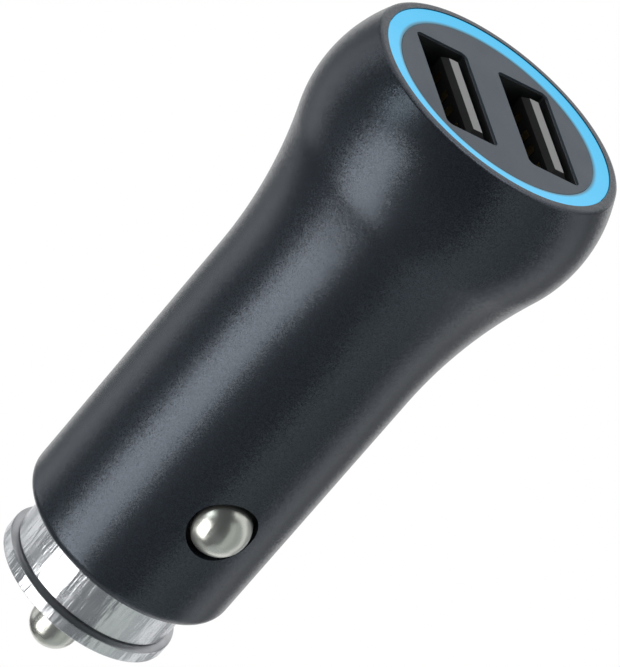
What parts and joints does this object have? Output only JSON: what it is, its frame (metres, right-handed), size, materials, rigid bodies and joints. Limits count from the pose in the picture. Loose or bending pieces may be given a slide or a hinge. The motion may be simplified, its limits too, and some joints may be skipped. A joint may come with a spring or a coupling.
{
  "type": "usb car charger",
  "caption": "Barrel-shaped car charger for a 12 V socket: satin graphite shell flaring to a lit round face with side-by-side USB-A ports, chromed nose collar and spring contacts.",
  "frame": {"origin": "on the charger's axis at the shoulder, where the straight barrel meets the flare", "axes": "+Z along the axis towards the USB face, nose pin to -Z; ports side by side along X; earth contacts along -Y and +Y"},
  "size_m": [0.0276, 0.0276, 0.0666],
  "materials": {
    "shell_paint": "satin graphite paint with a fine metallic flake",
    "ring_light": "frosted light guide, lit pale blue",
    "face_plastic": "fine matt moulded plastic",
    "port_steel": "tinned pressed steel, dull in the shade of the socket",
    "tongue_plastic": "grey moulded insulator",
    "contact_plating": "gold flash over brass",
    "board_laminate": "green solder mask on glass laminate",
    "led_case": "white lamp case",
    "carrier_plastic": "black moulded plastic",
    "spring_steel": "bright drawn wire",
    "bright_chrome": "polished chrome plating",
    "capacitor_can": "drawn can",
    "ferrite": "sintered, dull",
    "copper_wire": "enamelled copper",
    "chip_case": "moulded epoxy",
    "fuse_case": "ceramic body with plated ends",
    "small_part_case": "ceramic",
    "nickel_plate": "nickel plating, slightly warm"
  },
  "bodies": {
    "charger": {"outer_shell": "shell_paint", "light_ring": "ring_light", "face_plate": "face_plastic", "usb_shell_left": "port_steel", "usb_shell_right": "port_steel", "usb_tongue_left": "tongue_plastic", "usb_tongue_right": "tongue_plastic", "usb_contacts_left": "contact_plating", "usb_contacts_right": "contact_plating", "front_board": "board_laminate", "board_pins": "contact_plating", "ring_lamps": "led_case", "main_board": "board_laminate", "carrier_front": "carrier_plastic", "carrier_rear": "carrier_plastic", "earth_spring_front": "spring_steel", "earth_spring_rear": "spring_steel", "earth_pads": "contact_plating", "nose_sleeve": "carrier_plastic", "nose_collar": "bright_chrome", "pin_bush": "carrier_plastic", "pin_spring": "spring_steel", "pin_terminal": "contact_plating", "input_capacitor": "capacitor_can", "output_capacitor": "capacitor_can", "choke_core": "ferrite", "choke_winding": "copper_wire", "converter_chip": "chip_case", "charging_chip": "chip_case", "fuse": "fuse_case", "small_parts": "small_part_case"},
    "centre_pin": {"centre_pin": "nickel_plate"},
    "earth_contact_front": {"earth_contact_front": "nickel_plate"},
    "earth_contact_rear": {"earth_contact_rear": "nickel_plate"}
  },
  "joints": [
    {"name": "pin_press", "type": "slide", "parent": "charger", "child": "centre_pin", "axis": [0, 0, 1], "range_m": [0, 0.003], "stiffness_N_per_m": 900, "springref_m": -0.004, "deforming": ["pin_spring"]},
    {"name": "front_contact_press", "type": "slide", "parent": "charger", "child": "earth_contact_front", "axis": [0, 1, 0], "range_m": [0, 0.0019], "stiffness_N_per_m": 500, "springref_m": -0.003, "deforming": ["earth_spring_front"]},
    {"name": "rear_contact_press", "type": "slide", "parent": "charger", "child": "earth_contact_rear", "axis": [0, -1, 0], "range_m": [0, 0.0019], "stiffness_N_per_m": 500, "springref_m": -0.003, "deforming": ["earth_spring_rear"]}
  ]
}
